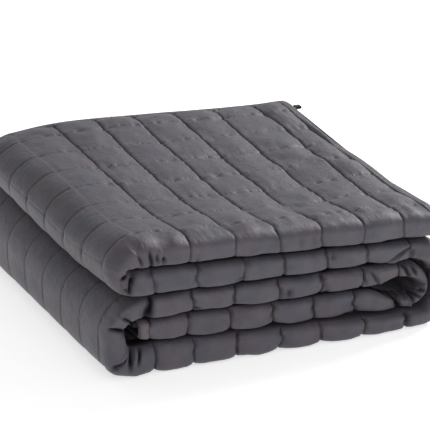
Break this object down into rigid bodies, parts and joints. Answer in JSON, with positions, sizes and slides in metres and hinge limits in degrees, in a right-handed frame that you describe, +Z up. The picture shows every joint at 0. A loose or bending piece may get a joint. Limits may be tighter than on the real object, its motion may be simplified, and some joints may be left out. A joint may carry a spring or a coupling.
{
  "type": "folded weighted blanket",
  "caption": "Heavy quilted blanket with square filling cells, folded lengthwise and then back and forth into a flat stack, with a ribbon loop at its hemmed corner",
  "frame": {"origin": "middle of the underside, on the surface that the stack lies on", "axes": "+Z up, the long rounded front folds towards -Y, the two free round turns towards -X, the top panel's hemmed free end towards +X"},
  "size_m": [0.3499, 0.3328, 0.1392],
  "materials": {
    "quilted_cloth": "dark grey, closely woven cloth with a soft sheen, quilted in squares over a bead filling",
    "ribbon": "black woven ribbon, matt"
  },
  "bodies": {
    "root": {"quilt": "quilted_cloth", "corner_loop": "ribbon"}
  },
  "joints": []
}
